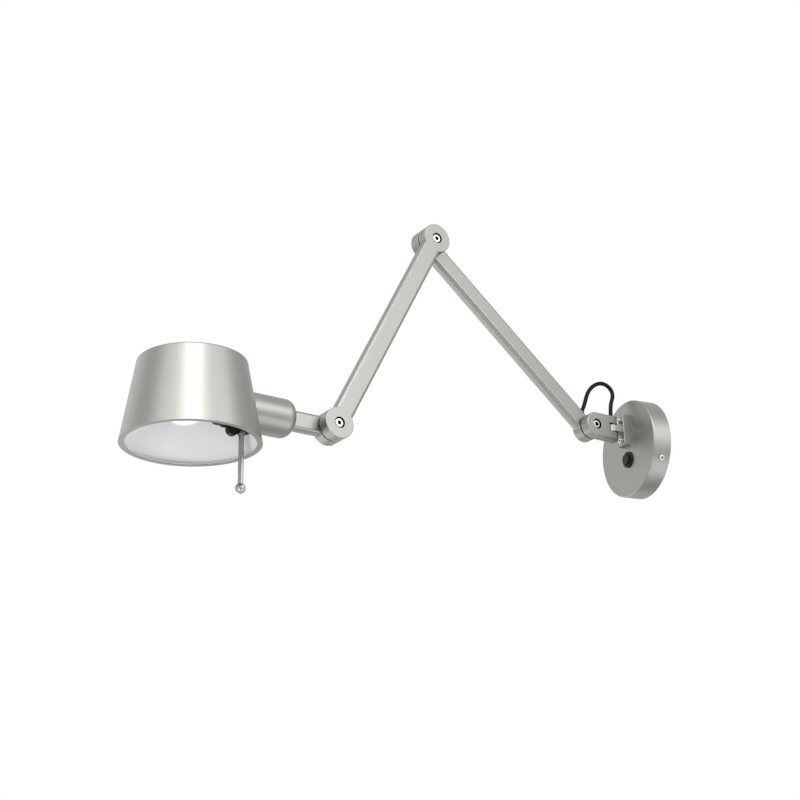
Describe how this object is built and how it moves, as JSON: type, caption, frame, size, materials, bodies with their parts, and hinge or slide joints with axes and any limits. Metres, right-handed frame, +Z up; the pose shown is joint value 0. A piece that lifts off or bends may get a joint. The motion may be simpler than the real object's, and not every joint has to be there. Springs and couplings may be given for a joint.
{
  "type": "articulating wall lamp",
  "caption": "Wall lamp with a round canopy, a swivelling two-part arm on friction joints and a tapered metal shade that tilts and turns.",
  "frame": {"origin": "centre of the wall plate's back face, on the wall", "axes": "+Z up, +Y into the wall, so the lamp stands out towards -Y, and +X to the right as seen from the room"},
  "size_m": [0.2224, 0.6844, 0.3725],
  "materials": {
    "satin_nickel": "satin nickel plating",
    "zinc_steel": "bright zinc plated",
    "bright_steel": "bright nickel plated",
    "black_plastic": "fine matt moulding",
    "black_rubber": "smooth matt",
    "ball_metal": "satin nickel plating",
    "white_plastic": "moulded",
    "brass": "plain",
    "cap_metal": "nickel plated",
    "opal_glass": "opal"
  },
  "bodies": {
    "wall_base": {"mounting_plate": "zinc_steel", "canopy": "satin_nickel", "canopy_screws": "zinc_steel", "terminal_block": "white_plastic", "terminal_screws": "brass", "earth_screw": "zinc_steel", "switch_body": "black_plastic", "switch_nut": "zinc_steel", "hinge_bracket": "satin_nickel", "backing_plate": "zinc_steel", "bracket_screws": "zinc_steel", "hinge_pin": "satin_nickel", "hinge_washers": "black_plastic"},
    "button": {"switch_button": "black_plastic"},
    "knuckle": {"knuckle_block": "satin_nickel", "cable_bush": "black_rubber", "cable_loop": "black_rubber", "shoulder_bolt": "bright_steel", "shoulder_washer": "black_plastic", "shoulder_nut": "zinc_steel"},
    "rear_link": {"rear_arm": "satin_nickel", "arm_grommet": "black_rubber"},
    "front_link": {"front_arm": "satin_nickel", "elbow_bolt": "bright_steel", "elbow_washer": "black_plastic", "elbow_nut": "zinc_steel", "wrist_bolt": "bright_steel", "wrist_washer": "black_plastic", "wrist_nut": "zinc_steel"},
    "stem_link": {"stem": "satin_nickel", "stem_nut": "zinc_steel"},
    "lamp_head": {"neck_cup": "satin_nickel", "shade": "satin_nickel", "shade_ring": "black_plastic", "lampholder": "black_plastic", "front_ring": "black_plastic", "socket_shell": "brass", "centre_contact": "brass", "bulb_cap": "cap_metal", "bulb_globe": "opal_glass", "handle_rod": "satin_nickel", "handle_collar": "satin_nickel", "handle_ball": "ball_metal"}
  },
  "joints": [
    {"name": "wall_swivel", "type": "hinge", "parent": "wall_base", "child": "knuckle", "pos_m": [0, -0.044, 0.0227], "axis": [0, 0, 1], "range_deg": [-85.5, 64.5]},
    {"name": "shoulder_tilt", "type": "hinge", "parent": "knuckle", "child": "rear_link", "pos_m": [0.00536, -0.07291, 0.0227], "axis": [-0.9833, -0.1822, 0], "range_deg": [-75, 45], "deforming": ["cable_loop"]},
    {"name": "elbow_fold", "type": "hinge", "parent": "rear_link", "child": "front_link", "pos_m": [0.0472, -0.29866, 0.21502], "axis": [0.9833, 0.1822, 0], "range_deg": [-100, 45]},
    {"name": "wrist_tilt", "type": "hinge", "parent": "front_link", "child": "stem_link", "pos_m": [0.07363, -0.44125, -0.04704], "axis": [-0.9833, -0.1822, 0], "range_deg": [-90, 60]},
    {"name": "shade_turn", "type": "hinge", "parent": "stem_link", "child": "lamp_head", "pos_m": [0.05878, -0.444, -0.04704], "axis": [0.1822, -0.9833, 0], "range_deg": [-45, 45]},
    {"name": "switch_press", "type": "slide", "parent": "wall_base", "child": "button", "axis": [0, 1, 0], "range_m": [0, 0.002], "stiffness_N_per_m": 500}
  ]
}
